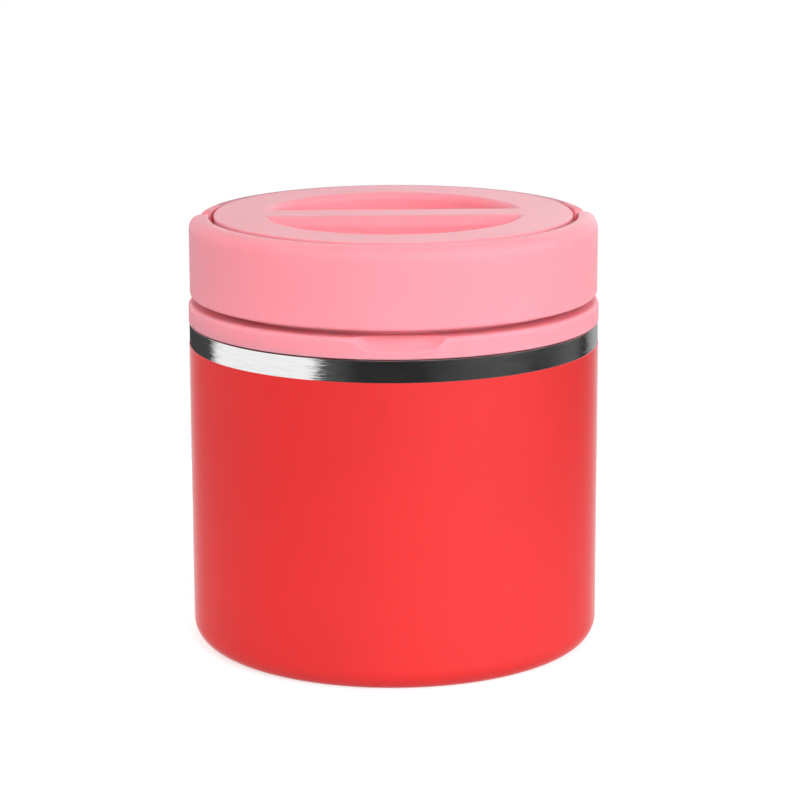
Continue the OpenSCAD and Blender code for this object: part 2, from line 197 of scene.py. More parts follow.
def solid(name, points, faces):
    """A piece from points in millimetres, smooth over its curves and crisp at its edges."""
    mesh = bpy.data.meshes.new(name)
    mesh.from_pydata([(x * MM, y * MM, z * MM) for x, y, z in points], [], faces)
    shape = bmesh.new()
    shape.from_mesh(mesh)
    bmesh.ops.recalc_face_normals(shape, faces=shape.faces)
    shape.to_mesh(mesh)
    shape.free()
    mesh.shade_smooth()
    mesh.set_sharp_from_angle(angle=CREASE)
    piece = bpy.data.objects.new(name, mesh)
    bpy.context.scene.collection.objects.link(piece)
    piece.modifiers.new("even_shading", "WEIGHTED_NORMAL").keep_sharp = True
    return piece


def ring_faces(one, two):
    """Faces between two rings of point numbers. A ring of one point is a pole."""
    n = max(len(one), len(two))
    faces = []
    for k in range(n):
        a, b = one[k % len(one)], one[(k + 1) % len(one)]
        c, d = two[(k + 1) % len(two)], two[k % len(two)]
        if len(one) == 1:
            faces.append([a, c, d])
        elif len(two) == 1:
            faces.append([a, b, d])
        else:
            faces.append([a, b, c, d])
    return faces


def lathe(name, outline, turns=None, reshape=None):
    """A solid of revolution from a closed outline of (radius, height)."""
    turns = turns or [2 * pi * k / SEGMENTS for k in range(SEGMENTS)]
    points, rings, faces = [], [], []
    for r, z in outline:
        around = [0.0] if r < 1e-6 else turns
        rings.append(list(range(len(points), len(points) + len(around))))
        points += [(r * sin(t), -r * cos(t), z) for t in around]
    for i, ring in enumerate(rings):
        following = rings[(i + 1) % len(rings)]
        if len(ring) > 1 or len(following) > 1:
            faces += ring_faces(ring, following)
    if reshape:
        points = [reshape(*p) for p in points]
    return solid(name, points, faces)


def bar_faces(steps):
    """Faces of a four-cornered bar of so many steps, with its two ends."""
    faces = []
    for k in range(steps):
        for j in range(4):
            a, b = 4 * k + j, 4 * k + (j + 1) % 4
            faces.append([a, b, b + 4, a + 4])
    return faces + [[0, 1, 2, 3], [4 * steps + j for j in range(4)]]


def helix_ridge(name, root_r, tip_r, at, z):
    """One segment of the screw thread, with its ends running out into the wall."""
    steps, run_out = 46, 7
    end_height, height_gain = 0.06, 0.94
    end_width, width_gain, root_soft = 0.55, 0.45, 0.12
    sunk_r = root_r + (THREAD_SUNK if root_r > tip_r else -THREAD_SUNK)
    points = []
    for k in range(steps + 1):
        turn = THREAD_SPAN * (k / steps - 0.5)
        rise = z + THREAD_LEAD * turn / 360
        to_end = min(k, steps - k) / run_out
        height = min(1.0, to_end) ** 0.5 * height_gain + end_height
        tip = root_r + (tip_r - root_r) * height
        half_root = THREAD_ROOT / 2 * (end_width + width_gain * height) + root_soft
        half_tip = THREAD_CREST / 2 * height
        a = radians(at + turn)
        corners = ((sunk_r, -half_root), (tip, -half_tip), (tip, half_tip), (sunk_r, half_root))
        points += [(r * cos(a), r * sin(a), rise + dz) for r, dz in corners]
    return solid(name, points, bar_faces(steps))


def thread(name, root_r, tip_r, turned):
    """All segments of a thread as one piece."""
    parts = []
    for start in range(THREAD_STARTS):
        for i in range(THREAD_SEGMENTS):
            at = turned + start * 360 / THREAD_STARTS + i * THREAD_STEP
            z = THREAD_Z + THREAD_LEAD * i * THREAD_STEP / 360
            parts.append(helix_ridge(name, root_r, tip_r, at, z))
    return joined(name, parts)


def joined(name, parts):
    """Several solids as one piece."""
    shape = bmesh.new()
    for part in parts:
        shape.from_mesh(part.data)
    shape.to_mesh(parts[0].data)
    shape.free()
    for part in parts[1:]:
        bpy.data.objects.remove(part)
    parts[0].data.set_sharp_from_angle(angle=CREASE)
    parts[0].name = name
    return parts[0]


def curved_plate(name, r_in, r_out, z_low, z_high, reach, corner, edges, behind=False, ears=False):
    """A plate bent round the axis, with rounded corners and edges.

    reach is how far its ends lie past the line through the pivots, in millimetres, and below 0 where they
    stop short of it. edges gives the rounding of the outer edge at the top, ends and bottom, and then of the
    inner edges. With ears, the stretch past the pivots is square to that line.
    """
    top_e, end_e, low_e, inner_e = edges
    quarter = r_out * pi / 2
    end = quarter + reach
    straight = end - corner
    count, rows, bend = 110, 10, 8
    outer_steps, inner_steps = 8, 4
    along = [-straight + 2 * straight * k / count for k in range(count + 1)]
    bends = [90 * k / bend for k in range(1, bend + 1)]

    def rim(column, upper):
        """A point on the outline and the way in from it, with the outer edge's rounding there."""
        side, tilt = column
        sign = 1 if side > 0 else -1
        at = side + sign * corner * sin(radians(tilt)) if tilt else side
        nx = -sign * sin(radians(tilt))
        nz = cos(radians(tilt))
        lift = corner * (1 - cos(radians(tilt)))
        share = tilt / 90
        if upper:
            return at, z_high - lift, nx, -nz, top_e + (end_e - top_e) * share
        return at, z_low + lift, nx, nz, low_e + (end_e - low_e) * share

    columns = [(-straight, t) for t in reversed(bends)] + [(s, 0) for s in along]
    columns += [(straight, t) for t in bends]
    n = len(columns) - 1
    low_line = [rim(c, False) for c in columns]
    top_line = [rim(c, True) for c in columns]
    flat_low, flat_high = z_low + corner, z_high - corner

    def end_line(sign, upward):
        """Points on one straight end, between the corners."""
        out = []
        for j in range(1, rows):
            t = j / rows
            out.append((sign * end, flat_low + (flat_high - flat_low) * t, -sign, 0.0, end_e))
        return out if upward else out[::-1]

    loop = low_line + end_line(1, True) + top_line[::-1] + end_line(-1, False)

    def place(s, z, depth):
        """The point at s along the plate and z up it, so deep under its outer face."""
        r = r_out - depth
        past = abs(s) - quarter
        turn = radians(90) + asin(past / r) if ears and past > 0 else abs(s) / r_out
        turn = turn if s >= 0 else -turn
        face = 1 if behind else -1
        return r * sin(turn), face * r * cos(turn), z

    thick = r_out - r_in
    levels = []
    for k in range(outer_steps + 1):
        t = radians(90 * k / outer_steps)
        levels.append(lambda e, t=t: (e * (1 - sin(t)), e * (1 - cos(t))))
    for k in range(inner_steps + 1):
        t = radians(90 - 90 * k / inner_steps)
        levels.append(lambda e, t=t: (inner_e * (1 - sin(t)), thick - inner_e * (1 - cos(t))))
    points, faces, rings = [], [], []
    for level in levels:
        ring = []
        for s, z, nx, nz, edge in loop:
            inset, depth = level(edge)
            ring.append(len(points))
            points.append((s + nx * inset, z + nz * inset, depth))
        rings.append(ring)
    for one, two in zip(rings, rings[1:]):
        faces += ring_faces(one, two)

    def cap(ring):
        """A grid over one broad face, from the low line to the top line."""
        low = ring[:n + 1]
        right = ring[n + 1:n + rows]
        top = ring[n + rows:2 * n + rows + 1][::-1]
        left = ring[2 * n + rows + 1:][::-1]
        grid = [low]
        for j in range(1, rows):
            row = [left[j - 1]]
            for i in range(1, n):
                a, b = Vector(points[low[i]]), Vector(points[top[i]])
                row.append(len(points))
                points.append(tuple(a + (b - a) * (j / rows)))
            row.append(right[j - 1])
            grid.append(row)
        grid.append(top)
        for one, two in zip(grid, grid[1:]):
            for i in range(n):
                faces.append([one[i], one[i + 1], two[i + 1], two[i]])

    cap(rings[0])
    cap(rings[-1])
    return solid(name, [place(*p) for p in points], faces)


# ---- Jar ----

def make_shell():
    slope_r = SHELL_R - SHOULDER_FILLET - SHOULDER_FLAT
    fillet = FOOT_STEEL_FILLET
    fillet_lift, fillet_start = 0.8, 258
    fillet_z = SHOULDER_Z + SHOULDER_RISE + fillet_lift
    outline = arc(FOOT_R + STEEL_T, STEEL_T, STEEL_T, 180, 270, 4)
    outline += arc(FOOT_CENTRE_R, fillet, fillet, 270, 360, 14)
    outline += arc(SHELL_R - SHOULDER_FILLET, SHOULDER_Z - SHOULDER_FILLET, SHOULDER_FILLET, 0, 90, 6)
    outline += [(slope_r, SHOULDER_Z)]
    outline += arc(NECK_R + NECK_FILLET, fillet_z, NECK_FILLET, fillet_start, 180, 6)
    outline += [(NECK_R, NECK_TOP), (NECK_R - STEEL_T, NECK_TOP)]
    outline += [(NECK_R - STEEL_T, SHOULDER_Z + SHOULDER_RISE - STEEL_T), (slope_r, SHOULDER_Z - STEEL_T)]
    outline += [(SHELL_R - STEEL_T, SHOULDER_Z - STEEL_T)]
    outline += arc(FOOT_CENTRE_R, fillet, fillet - STEEL_T, 360, 270, 14)
    outline += [(FOOT_R + STEEL_T, STEEL_T), (FOOT_R + STEEL_T, HEM_Z + STEEL_T)]
    outline += [(FOOT_R - HEM_W, HEM_Z + STEEL_T), (FOOT_R - HEM_W, HEM_Z), (FOOT_R, HEM_Z)]
    return lathe("shell_steel", outline)


def make_coat():
    fillet = FOOT_STEEL_FILLET
    lip = COAT_T * 0.6
    ends = -70
    outline = arc(FOOT_CENTRE_R, fillet, FOOT_FILLET, ends, 0, 14)
    outline += arc(BODY_R - lip, coat_high.z - lip, lip, 0, 90, 4)
    outline += [(SHELL_R, coat_high.z)]
    outline += arc(FOOT_CENTRE_R, fillet, fillet, 0, ends, 14)
    return lathe("coat", outline)


def make_liner():
    corner_r, corner_z = LINER_R - LINER_CORNER, liner_low.z + LINER_CORNER
    shoulder = LINER_R - MOUTH_R - STEEL_T
    neck_r = MOUTH_R + STEEL_T
    bead = STEEL_T / 2
    outline = [(0, liner_low.z)] + arc(corner_r, corner_z, LINER_CORNER, 270, 360, 12)
    outline += arc(neck_r, LINER_SHOULDER_Z, shoulder, 0, 90, 12)
    outline += [(neck_r, RIM_Z - STEEL_T), (NECK_R, RIM_Z - STEEL_T)]
    outline += arc(NECK_R - bead, RIM_Z - bead, bead, 0, 90, 4)
    outline += arc(MOUTH_R + bead, RIM_Z - bead, bead, 90, 180, 4)
    outline += [(MOUTH_R, LINER_SHOULDER_Z + shoulder - STEEL_T)]
    outline += arc(neck_r, LINER_SHOULDER_Z, shoulder - STEEL_T, 90, 0, 12)
    outline += arc(corner_r, corner_z, LINER_CORNER - STEEL_T, 360, 270, 12)
    outline += [(0, liner_low.z + STEEL_T)]
    return lathe("liner", outline)


def make_base_cover():
    low, high, r = cover_low.z, cover_high.z, cover_high.x
    rim_w, soft, edge = 1.5, 0.8, 0.4
    outline = rounded(
        (0, low + COVER_STEP), (COVER_STEP_R - COVER_STEP, low + COVER_STEP, soft),
        (COVER_STEP_R, low, soft), (r, low, edge), (r, high), (r - rim_w, high), (r - rim_w, low + STEEL_T),
        (COVER_STEP_R + STEEL_T / 2, low + STEEL_T),
        (COVER_STEP_R - STEEL_T / 2, low + COVER_STEP + STEEL_T), (0, low + COVER_STEP + STEEL_T))
    return lathe("base_plate", outline)


def make_gasket():
    inner, outer = 40.1, gasket_high.x
    low, high = gasket_low.z, gasket_high.z
    foot, brow = 0.6, 0.5
    outline = rounded((inner, low, foot), (outer, low, foot), (outer, high, brow), (inner, high, brow))
    return lathe("gasket", outline)


# ---- Lid ----

SCOOP_W = 24.2
SCOOP_DROP = 3.4
SCOOP_RUN = 5.0
SCOOP_END_R = 6.0
SCOOP_SLANT = atan2(SCOOP_DROP, SCOOP_RUN)
SCOOP_SAG = SCOOP_DROP * cos(SCOOP_SLANT)
SCOOP_END_X = SCOOP_W / 2 - sqrt(2 * SCOOP_END_R * SCOOP_SAG - SCOOP_SAG ** 2)
SCOOP_SOFT = 0.35
SCOOP_SOFT_MOST = 3
SCOOP_KEEP = 0.5  # the flange's foot, which the scoop doesn't reach
CLOSE = 0.01  # slack in comparing a radius or a height


def scoop_floor(x):
    """Height of the scoop's trough at x and its slope there: flat between two arcs."""
    past = max(abs(x) - SCOOP_END_X, 0)
    drop = sqrt(SCOOP_END_R ** 2 - past ** 2)
    return SCOOP_END_R - drop, past / drop


def scooped(x, y, z):
    """Moves a point of the flange down to the thumb scoop, with a soft edge."""
    beside = y > 0 or abs(x) > SCOOP_W / 2 or hypot(x, y) < DISC_R - CLOSE
    if beside or z < FLANGE_Z + SCOOP_KEEP or z > FLANGE_TOP + CLOSE:
        return x, y, z
    out = -(y + BODY_R) * sin(SCOOP_SLANT) + (z - FLANGE_TOP + SCOOP_DROP) * cos(SCOOP_SLANT)
    floor, slope = scoop_floor(x)
    soft = SCOOP_SOFT * min(sqrt(1 + slope ** 2), SCOOP_SOFT_MOST)
    near = max(soft - abs(out - floor), 0) / soft
    moved = min(out, floor) - near ** 2 * soft / 4 - out
    return x, y - moved * sin(SCOOP_SLANT), z + moved * cos(SCOOP_SLANT)


def make_lid_shell():
    """The lid's wall, floor and flange in one turned piece, with more points where the scoop is."""
    edge_r = BODY_R - FLANGE_FILLET
    top, web = FLANGE_TOP, FLANGE_TOP - WEB_T
    fine, fine_turn, scoop_turns, around = 0.25, 0.3, 22, 220
    outline = [(0, FLOOR_Z), (WALL_R, FLOOR_Z)]
    outline += [(WALL_R, WALL_Z), (DISC_R, WALL_Z), (DISC_R, web), (SKIRT_R, web), (SKIRT_R, FLANGE_Z)]
    outline += arc(BODY_R - FLANGE_LIP, FLANGE_Z + FLANGE_LIP, FLANGE_LIP, 270, 360, 6)
    low, high = FLANGE_Z + FLANGE_LIP, top - FLANGE_FILLET
    steps = round((high - low) / fine)
    outline += [(BODY_R, low + (high - low) * k / steps) for k in range(1, steps)]
    outline += arc(edge_r, top - FLANGE_FILLET, FLANGE_FILLET, 0, 90, 12)
    steps = round((edge_r - DISC_R) / fine)
    outline += [(edge_r + (DISC_R - edge_r) * k / steps, top) for k in range(1, steps + 1)]
    outline += [(DISC_R, DISC_Z), (WALL_R, DISC_Z), (WALL_R, FLOOR_Z + FLOOR_T), (0, FLOOR_Z + FLOOR_T)]
    front_steps = int(2 * scoop_turns / fine_turn)
    front = [radians(-scoop_turns + fine_turn * k) for k in range(front_steps + 1)]
    rest_span = 2 * pi - (front[-1] - front[0])
    rest = [front[-1] + rest_span * k / around for k in range(1, around)]
    return lathe("lid_flange", outline, front + rest, scooped)


def make_guard():
    reach = -asin(GUARD_Y / GUARD_OUT) * GUARD_OUT
    return curved_plate("lid_guard", GUARD_IN, GUARD_OUT, FLANGE_TOP - FLANGE_SUNK, GUARD_TOP, reach,
                        GUARD_CORNER, GUARD_EDGES, behind=True)


def make_guard_fill():
    """The guard wall's inner part, which closes the gap round the disc away from the handle."""
    reach = -radians(FILL_FROM) * FILL_OUT
    return curved_plate("lid_guard_fill", FILL_IN, FILL_OUT, FLANGE_TOP - FLANGE_SUNK, GUARD_TOP, reach,
                        FILL_CORNER, FILL_EDGES, behind=True)


def make_bosses():
    """The two hollow bosses that the handle's pins turn in."""
    edge, bore_edge, segments = 0.3, 0.2, 48
    lift = Matrix.Translation((0, 0, PIVOT_Z * MM))
    outline = rounded((BORE_R, BOSS_IN), (BOSS_R, BOSS_IN),
                      (BOSS_R, BOSS_OUT, edge), (BORE_R, BOSS_OUT, bore_edge))
    parts = []
    for side in (1, -1):
        part = lathe("lid_bosses", outline, [2 * pi * k / segments for k in range(segments)])
        part.data.transform(lift @ Matrix.Rotation(side * pi / 2, 4, "Y"))
        parts.append(part)
    return joined("lid_bosses", parts)


def make_pads():
    """The two low pads on the flange that the carry handle lies on."""
    low, high, steps = FLANGE_TOP - FLANGE_SUNK, BAND_Z, 8
    section = ((PAD_IN, low), (PAD_OUT, low), (PAD_OUT, high), (PAD_IN, high))
    parts = []
    for side in (1, -1):
        points = []
        for k in range(steps + 1):
            a = radians(PAD_AT - PAD_SPAN / 2 + PAD_SPAN * k / steps)
            points += [(side * r * cos(a), r * sin(a), z) for r, z in section]
        parts.append(solid("lid_pads", points, bar_faces(steps)))
    return joined("lid_pads", parts)


def pocket_plan(side, r, y, corner):
    """A finger pocket in plan: inside the circle r and beyond the line at y, with two rounded corners."""
    corner_steps, back_steps, front_steps = 12, 72, 40
    centre_y = y + corner
    centre_x = sqrt((r - corner) ** 2 - centre_y ** 2)
    lean = degrees(atan2(centre_y, centre_x))
    right = arc(centre_x, centre_y, corner, -90, lean, corner_steps)
    back_turns = [radians(lean + (180 - 2 * lean) * k / back_steps) for k in range(1, back_steps)]
    back = [(r * cos(a), r * sin(a)) for a in back_turns]
    left = [(-x, y) for x, y in reversed(right)]
    front = [(-centre_x + 2 * centre_x * k / front_steps, y) for k in range(1, front_steps)]
    return [(x, side * y) for x, y in right + back + left + front]


def pocket_levels(side):
    """Rings down a pocket's wall: its rounded rim and the bar's rounded edge, then its floor's rounding."""
    rim_turn, bar_turn, floor_steps = 10, 9, 6
    depths = {RECESS_EDGE * (1 - cos(radians(a))) for a in range(0, 91, rim_turn)}
    depths |= {BAR_EDGE * (1 - cos(radians(a))) for a in range(0, 91, bar_turn)}
    sharp, round_r = POCKET_TIP
    levels = []
    for depth in sorted(depths):
        rim = sqrt(RECESS_EDGE ** 2 - (RECESS_EDGE - min(depth, RECESS_EDGE)) ** 2)
        bar = sqrt(BAR_EDGE ** 2 - (BAR_EDGE - min(depth, BAR_EDGE)) ** 2)
        tip = sharp + (round_r - sharp) * min(1.0, depth / BAR_EDGE)
        plan = pocket_plan(side, RECESS_R + RECESS_EDGE - rim, BAR_HALF - BAR_EDGE + bar, tip)
        levels.append([(x, y, TOP_Z - depth) for x, y in plan])
    for k in range(floor_steps + 1):
        t = radians(90 * k / floor_steps)
        inset, rise = POCKET_FLOOR_FILLET * (1 - cos(t)), POCKET_FLOOR_FILLET * (1 - sin(t))
        plan = pocket_plan(side, RECESS_R - inset, BAR_HALF + inset, round_r - inset)
        levels.append([(x, y, RECESS_Z + rise) for x, y in plan])
    return levels


def make_disc():
    """The top disc: a turned rim and bowl, two pockets sunk into its flat, and a hollow under the bar."""
    points, faces = [], []

    def ring(around):
        """Adds the points and gives their numbers."""
        points.extend(around)
        return list(range(len(points) - len(around), len(points)))

    def circle(r, z):
        turns = [2 * pi * k / SEGMENTS for k in range(SEGMENTS)]
        return ring([(r * sin(t), -r * cos(t), z) for t in turns])

    def strip(rings):
        for one, two in zip(rings, rings[1:]):
            faces.extend(ring_faces(one, two))

    def flat(*loops):
        """A flat face with holes: the first loop is its edge."""
        corners = [number for loop in loops for number in loop]
        outlines = [[Vector(points[i]) for i in loop] for loop in loops]
        for triangle in geometry.tessellate_polygon(outlines):
            faces.append([corners[i] for i in triangle])

    bowl_r, bowl_fillet = RECESS_R + BOWL_T, 2
    skirt_out, skirt_in, skirt_z = 43.85, 42.25, DISC_Z - 3
    outside = arc(DISC_R - DISC_EDGE, TOP_Z - DISC_EDGE, DISC_EDGE, 90, 0, 8)
    outside += [(DISC_R, DISC_Z), (skirt_out, DISC_Z), (skirt_out, skirt_z), (skirt_in, skirt_z)]
    outside += [(skirt_in, DISC_Z), (bowl_r, DISC_Z)]
    outside += arc(bowl_r - bowl_fillet, disc_low.z + bowl_fillet, bowl_fillet, 0, -90, 6)
    body = [circle(r, z) for r, z in outside]
    strip(body)

    brims = []
    for side in (1, -1):
        levels = pocket_levels(side)
        rings = [ring(level) for level in levels]
        strip(rings)
        faces.append(rings[-1])
        brims.append(rings[0])
    flat(body[0], *brims)

    half_l, half_w, bend, soft = RECESS_R - BOWL_T, BAR_HALF - BOWL_T, BAR_EDGE - BOWL_T, 1
    hollow = rounded(*[(x * half_l, y * half_w, soft) for x, y in ((1, -1), (1, 1), (-1, 1), (-1, -1))])
    roof = TOP_Z - BOWL_T
    mouth = ring([(x, y, disc_low.z) for x, y in hollow])
    shoulder = ring([(x, y, roof - bend) for x, y in hollow])
    ceiling = ring([(x, y * (half_w - bend) / half_w, roof) for x, y in hollow])
    strip([mouth, shoulder, ceiling])
    faces.append(ceiling)
    flat(body[-1], mouth)
    return solid("top_disc", points, faces)


def make_plug():
    low, high, r = plug_low.z, plug_high.z, plug_high.x
    wall, fillet, inner_fillet = 1.8, 2.5, 1.0
    outline = rounded((0, low), (r, low, fillet), (r, high), (r - wall, high),
                      (r - wall, low + wall, inner_fillet), (0, low + wall))
    return lathe("plug", outline)


# ---- Handle ----

def make_band():
    """The carry handle, which lies round the front of the lid, with an ear past each pivot."""
    return curved_plate("carry_band", BAND_IN, BAND_OUT, BAND_Z, BAND_TOP, EAR, EAR, BAND_EDGES, ears=True)


# ---- Materials ----

class Graph:
    """A node tree, with short calls to add nodes and join them."""

    def __init__(self, tree):
        self.nodes = tree.nodes
        self.links = tree.links

    def set(self, node, sockets):
        for key, value in sockets.items():
            node.inputs[key].default_value = value

    def add(self, kind, sockets=None, **settings):
        node = self.nodes.new("ShaderNode" + kind)
        for key, value in settings.items():
            setattr(node, key, value)
        self.set(node, sockets or {})
        return node

    def join(self, output, socket):
        self.links.new(output, socket)

    def ramp(self, value, low, high, to_low, to_high, kind="LINEAR"):
        """value from low..high mapped to to_low..to_high."""
        node = self.add("MapRange", {1: low, 2: high, 3: to_low, 4: to_high}, interpolation_type=kind)
        self.join(value, node.inputs[0])
        return node.outputs[0]

    def math(self, kind, a, b=0.0):
        node = self.add("Math", operation=kind)
        for socket, value in zip(node.inputs, (a, b)):
            if isinstance(value, (int, float)):
                socket.default_value = value
            else:
                self.join(value, socket)
        return node.outputs[0]

    def mix(self, share, a, b):
        """A shader that is a where share is 0 and b where it is 1."""
        node = self.add("MixShader")
        for socket, output in zip(node.inputs, (share, a, b)):
            self.join(output, socket)
        return node.outputs[0]


class Finish(Graph):
    """A material and its surface."""

    def __init__(self, name, color, roughness, **sockets):
        self.material = bpy.data.materials.new(name)
        self.material.use_nodes = True
        super().__init__(self.material.node_tree)
        self.surface = self.nodes["Principled BSDF"]
        self.material.diffuse_color = (*color, 1)
        self.set(self.surface, {"Base Color": (*color, 1), "Roughness": roughness, **sockets})
        self.place = self.add("TexCoord").outputs["Object"]

    def noise(self, per_mm, detail, rough):
        """Noise with about so many grains in a millimetre, from 0 to 1."""
        node = self.add("TexNoise", {"Scale": per_mm / MM, "Detail": detail, "Roughness": rough})
        self.join(self.place, node.inputs["Vector"])
        return node.outputs["Fac"]

    def tint(self, color, *levels):
        """The colour times each level, into the base colour."""
        level = levels[0]
        for other in levels[1:]:
            level = self.math("MULTIPLY", level, other)
        node = self.add("VectorMath", {0: color}, operation="SCALE")
        self.join(level, node.inputs["Scale"])
        self.join(node.outputs[0], self.surface.inputs["Base Color"])

    def bump(self, height, strength, depth_mm, normal=None):
        """Raises the surface by the height, on top of the normal if there is one."""
        node = self.add("Bump", {"Strength": strength, "Distance": depth_mm * MM})
        self.join(height, node.inputs["Height"])
        if normal:
            self.join(normal, node.inputs["Normal"])
        self.join(node.outputs[0], self.surface.inputs["Normal"])


def moulded(name, color, roughness, grain, **sockets):
    """Satin moulded plastic: a fine eroded grain, slight flow marks in colour and gloss."""
    f = Finish(name, color, roughness, **sockets)
    fine = f.noise(grain, 3, 0.6)
    broad = f.noise(0.045, 2, 0.5)
    f.tint(color, f.ramp(broad, 0.3, 0.7, 0.985, 1.015), f.ramp(fine, 0.3, 0.7, 0.985, 1.015))
    f.join(f.ramp(broad, 0.3, 0.7, roughness - 0.02, roughness + 0.03), f.surface.inputs["Roughness"])
    f.bump(fine, 0.12, 0.02)
    return f.material


def powder(name, color):
    """Powder coat: fused grains with soft hollows between them, each a little lighter or darker."""
    f = Finish(name, color, 0.60, **POWDER_GLOSS)
    grain = f.noise(2.6, 3, 0.62)
    hollow = f.noise(0.9, 2, 0.55)
    broad = f.noise(0.035, 2, 0.5)
    f.tint(color, f.ramp(grain, 0.32, 0.68, 0.88, 1.10), f.ramp(broad, 0.3, 0.7, 0.97, 1.03))
    f.join(f.ramp(grain, 0.3, 0.7, 0.54, 0.66), f.surface.inputs["Roughness"])
    height = f.math("ADD", grain, f.math("MULTIPLY", hollow, 0.6))
    f.bump(height, 0.35, 0.03)
    return f.material


def turned_steel(name, color, roughness, streak, sway, fine=9.0):
    """Steel finished on a lathe: hairlines run round the axis, and blur reflections across themselves."""
    f = Finish(name, color, roughness, Metallic=1.0, Anisotropic=0.75, **{"Anisotropic Rotation": 0.25})
    f.join(f.add("Tangent", direction_type="RADIAL", axis="Z").outputs[0], f.surface.inputs["Tangent"])
    split = f.add("SeparateXYZ")
    f.join(f.place, split.inputs[0])
    x, y, z = split.outputs
    r = f.math("SQRT", f.math("ADD", f.math("MULTIPLY", x, x), f.math("MULTIPLY", y, y)))

    def hairlines(across, around, detail):
        """Noise drawn out round the axis: across and around are grains per millimetre."""
        vector = f.add("CombineXYZ")
        for socket, value, scale in zip(vector.inputs, (x, y, r), (around, around, across)):
            f.join(f.math("MULTIPLY", value, scale / MM), socket)
        node = f.add("TexNoise", {"Scale": 1.0, "Detail": detail, "Roughness": 0.65}, noise_dimensions="4D")
        f.join(vector.outputs[0], node.inputs["Vector"])
        f.join(f.math("MULTIPLY", z, across / MM), node.inputs["W"])
        return node.outputs["Fac"]

    lines = hairlines(fine, 0.12, 3)
    f.tint(color, f.ramp(lines, 0.25, 0.75, 1 - streak, 1 + streak))
    f.join(f.ramp(lines, 0.3, 0.7, roughness * 0.75, roughness * 1.3), f.surface.inputs["Roughness"])
    shift = f.ramp(hairlines(fine * 0.7, 0.2, 2), 0.25, 0.75, -sway, sway)
    normal = f.add("NewGeometry").outputs["Normal"]
    side = f.add("VectorMath", {0: (0, 0, 1)}, operation="CROSS_PRODUCT")
    f.join(normal, side.inputs[1])
    lean = f.add("VectorMath", operation="SCALE")
    f.join(side.outputs[0], lean.inputs[0])
    f.join(shift, lean.inputs["Scale"])
    total = f.add("VectorMath", operation="ADD")
    f.join(normal, total.inputs[0])
    f.join(lean.outputs[0], total.inputs[1])
    unit = f.add("VectorMath", operation="NORMALIZE")
    f.join(total.outputs[0], unit.inputs[0])
    f.bump(lines, 0.12, 0.01, unit.outputs[0])
    return f.material


def plain_metal(name, color, roughness):
    """Sheet or ground metal with a faint uneven sheen."""
    f = Finish(name, color, roughness, Metallic=1.0)
    cloud = f.noise(0.3, 3, 0.6)
    f.tint(color, f.ramp(cloud, 0.3, 0.7, 0.93, 1.05))
    f.join(f.ramp(cloud, 0.3, 0.7, roughness - 0.05, roughness + 0.08), f.surface.inputs["Roughness"])
    f.bump(f.noise(3, 2, 0.5), 0.1, 0.01)
    return f.material


def grainy(name, color, roughness, per_mm, depth):
    """A matt material with a visible grain: silicone, foam, sintered metal or sealing glass."""
    f = Finish(name, color, roughness)
    grain = f.noise(per_mm, 3, 0.6)
    f.tint(color, f.ramp(grain, 0.3, 0.7, 0.92, 1.06))
    f.bump(grain, 0.4, depth)
    return f.material


PINK = (0.93, 0.312, 0.370)
CORAL = (0.65, 0.0055, 0.0062)
POWDER_GLOSS = {"Specular IOR Level": 0.70, "Sheen Weight": 1.0, "Sheen Roughness": 0.21}
PLASTIC_GLOSS = {"Specular IOR Level": 0.42, "Sheen Weight": 0.08, "Sheen Roughness": 0.50}
SCATTER = {
    "Subsurface Weight": 1.0, "Subsurface Radius": (1.0, 0.4, 0.4), "Subsurface Scale": 1.5 * MM}
DEEP_SCATTER = {
    "Subsurface Weight": 1.0, "Subsurface Radius": (1.0, 0.25, 0.25), "Subsurface Scale": 3.5 * MM}
SHADE_GLOSS = {"Specular IOR Level": 0.10, "Sheen Weight": 0.0}

lid_pink = moulded("lid_plastic", PINK, 0.60, 3.5, **DEEP_SCATTER, **SHADE_GLOSS)
disc_pink = moulded("disc_plastic", PINK, 0.60, 3.5, **SCATTER, **PLASTIC_GLOSS)
handle_pink = moulded("handle_plastic", PINK, 0.60, 3.5, **SCATTER, **PLASTIC_GLOSS)
coat_red = powder("powder_coat", CORAL)
steel = turned_steel("brushed_steel", (0.64, 0.64, 0.64), 0.12, streak=0.14, sway=0.07)
liner_steel = turned_steel("liner_steel", (0.60, 0.60, 0.61), 0.30, streak=0.06, sway=0.03, fine=5.0)
base_steel = turned_steel("base_steel", (0.60, 0.60, 0.61), 0.24, streak=0.08, sway=0.03, fine=5.0)
mill_steel = plain_metal("plain_steel", (0.45, 0.45, 0.47), 0.38)
pin_steel = plain_metal("pin_steel", (0.55, 0.55, 0.57), 0.25)
silicone = grainy("silicone", (0.66, 0.66, 0.65), 0.55, 2.0, 0.01)
plug_white = moulded("plug_plastic", (0.78, 0.76, 0.74), 0.38, 3.0)
foam = grainy("foam", (0.82, 0.81, 0.76), 0.9, 1.2, 0.12)
glass = grainy("seal_glass", (0.10, 0.16, 0.14), 0.12, 0.8, 0.01)
getter_grey = grainy("getter_metal", (0.12, 0.12, 0.13), 0.7, 4.0, 0.03)


# ---- The pieces, each on its body and in place of its CAD node ----

def fit(piece, material, body, node):
    """Gives a piece its material, its body and the CAD node that it stands in for."""
    piece.data.materials.clear()
    piece.data.materials.append(material)
    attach(piece, body)
    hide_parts(node)


